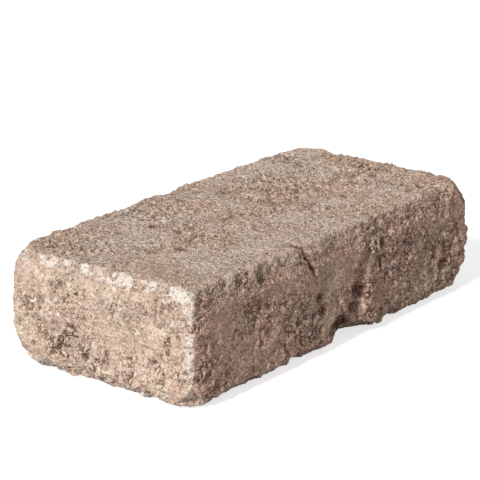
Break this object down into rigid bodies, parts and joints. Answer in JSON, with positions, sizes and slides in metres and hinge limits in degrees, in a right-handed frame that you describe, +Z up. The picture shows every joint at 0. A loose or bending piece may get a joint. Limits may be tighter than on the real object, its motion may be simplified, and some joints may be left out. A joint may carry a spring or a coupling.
{
  "type": "concrete paver",
  "caption": "Rectangular cast concrete paver with tumbled, flaked arrises, knocked corners and a scar in one long side.",
  "frame": {"origin": "middle of the bed, the face that the paver lies on", "axes": "+X along the length to the right, +Y across the width to the back, +Z up out of the wearing face; the scarred long side faces -Y"},
  "size_m": [0.1778, 0.0888, 0.0444],
  "materials": {
    "weathered_concrete": "rough, sandy, weathered"
  },
  "bodies": {
    "root": {"paver": "weathered_concrete"}
  },
  "joints": []
}
